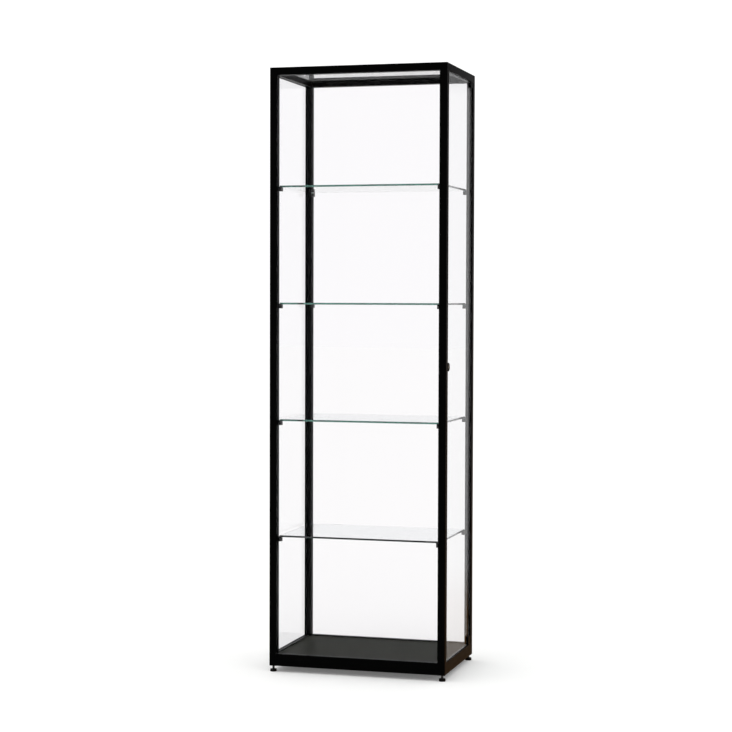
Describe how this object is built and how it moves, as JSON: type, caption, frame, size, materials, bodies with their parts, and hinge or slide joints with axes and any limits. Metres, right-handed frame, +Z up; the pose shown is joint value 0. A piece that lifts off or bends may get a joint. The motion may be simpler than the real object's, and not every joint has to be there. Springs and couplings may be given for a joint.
{
  "type": "glass display cabinet",
  "caption": "Tall glass display cabinet with a black square-tube frame, lockable side door, adjustable glass shelves and levelling feet.",
  "frame": {"origin": "on the floor, below the centre of the cabinet", "axes": "+X to the cabinet's right, the front face at -Y, +Z up; the door is on the +X side with its pivot at the rear"},
  "size_m": [0.6, 0.4, 2],
  "materials": {
    "frame": "black powder coat, satin",
    "pane_glass": "clear tempered float, polished edges",
    "lid_glass": "clear tempered float, polished edges",
    "shelf_glass": "clear tempered float, green polished edges",
    "cast_aluminium": "as cast",
    "plated_steel": "zinc plated",
    "zinc_steel": "bright zinc plated",
    "deck": "dark grey melamine on chipboard, matt",
    "seal": "black extruded rubber, matt",
    "bronze": "sintered bronze",
    "foot": "black nylon, fine grain",
    "clamp": "black powder coat on zinc, satin",
    "fibre": "black fibre",
    "black_screw": "black oxide",
    "pin": "ground",
    "lock_case": "black, satin",
    "lock_steel": "zinc plated",
    "lock_plug": "nickel plated",
    "clip": "black anodised aluminium",
    "silicone": "translucent silicone"
  },
  "bodies": {
    "cabinet": {"post_front_left": "frame", "post_front_right": "frame", "post_rear_left": "frame", "post_rear_right": "frame", "base_rail_front": "frame", "base_rail_rear": "frame", "base_rail_left": "frame", "base_rail_right": "frame", "top_rail_front": "frame", "top_rail_rear": "frame", "top_rail_left": "frame", "top_rail_right": "frame", "top_corner_connectors": "cast_aluminium", "base_spigots": "cast_aluminium", "base_corner_brackets": "plated_steel", "bracket_screws": "zinc_steel", "deck_panel": "deck", "glass_front": "pane_glass", "glass_rear": "pane_glass", "glass_left": "pane_glass", "glass_top": "lid_glass", "pane_seals": "seal", "door_seals": "seal", "pivot_bushes": "bronze", "foot_inserts": "plated_steel"},
    "door": {"door_glass": "pane_glass", "door_clamp_bottom": "clamp", "door_clamp_top": "clamp", "door_clamp_pads": "fibre", "door_clamp_screws": "black_screw", "door_pivot_pins": "pin", "lock_housing": "lock_case", "lock_nut": "lock_steel"},
    "lock_cylinder": {"lock_plug": "lock_plug", "lock_cam": "lock_steel", "lock_cam_screw": "lock_steel"},
    "shelf_1": {"shelf_1_glass": "shelf_glass", "shelf_1_clips": "clip", "shelf_1_pads": "silicone", "shelf_1_bolts": "black_screw"},
    "shelf_2": {"shelf_2_glass": "shelf_glass", "shelf_2_clips": "clip", "shelf_2_pads": "silicone", "shelf_2_bolts": "black_screw"},
    "shelf_3": {"shelf_3_glass": "shelf_glass", "shelf_3_clips": "clip", "shelf_3_pads": "silicone", "shelf_3_bolts": "black_screw"},
    "shelf_4": {"shelf_4_glass": "shelf_glass", "shelf_4_clips": "clip", "shelf_4_pads": "silicone", "shelf_4_bolts": "black_screw"},
    "foot_front_left": {"foot_disc_front_left": "foot", "foot_stud_front_left": "zinc_steel"},
    "foot_front_right": {"foot_disc_front_right": "foot", "foot_stud_front_right": "zinc_steel"},
    "foot_rear_left": {"foot_disc_rear_left": "foot", "foot_stud_rear_left": "zinc_steel"},
    "foot_rear_right": {"foot_disc_rear_right": "foot", "foot_stud_rear_right": "zinc_steel"}
  },
  "joints": [
    {"name": "door_hinge", "type": "hinge", "parent": "cabinet", "child": "door", "pos_m": [0.293, 0.1655, 1.02], "axis": [0, 0, 1], "range_deg": [0, 100]},
    {"name": "lock_turn", "type": "hinge", "parent": "door", "child": "lock_cylinder", "pos_m": [0.278, -0.1595, 1.02], "axis": [1, 0, 0], "range_deg": [0, 90]},
    {"name": "shelf_1_height", "type": "slide", "parent": "cabinet", "child": "shelf_1", "axis": [0, 0, 1], "range_m": [-0.12, 0.12]},
    {"name": "shelf_2_height", "type": "slide", "parent": "cabinet", "child": "shelf_2", "axis": [0, 0, 1], "range_m": [-0.12, 0.12]},
    {"name": "shelf_3_height", "type": "slide", "parent": "cabinet", "child": "shelf_3", "axis": [0, 0, 1], "range_m": [-0.12, 0.12]},
    {"name": "shelf_4_height", "type": "slide", "parent": "cabinet", "child": "shelf_4", "axis": [0, 0, 1], "range_m": [-0.12, 0.12]},
    {"name": "foot_front_left_level", "type": "slide", "parent": "cabinet", "child": "foot_front_left", "axis": [0, 0, 1], "range_m": [-0.007, 0.008]},
    {"name": "foot_front_right_level", "type": "slide", "parent": "cabinet", "child": "foot_front_right", "axis": [0, 0, 1], "range_m": [-0.007, 0.008]},
    {"name": "foot_rear_left_level", "type": "slide", "parent": "cabinet", "child": "foot_rear_left", "axis": [0, 0, 1], "range_m": [-0.007, 0.008]},
    {"name": "foot_rear_right_level", "type": "slide", "parent": "cabinet", "child": "foot_rear_right", "axis": [0, 0, 1], "range_m": [-0.007, 0.008]}
  ]
}
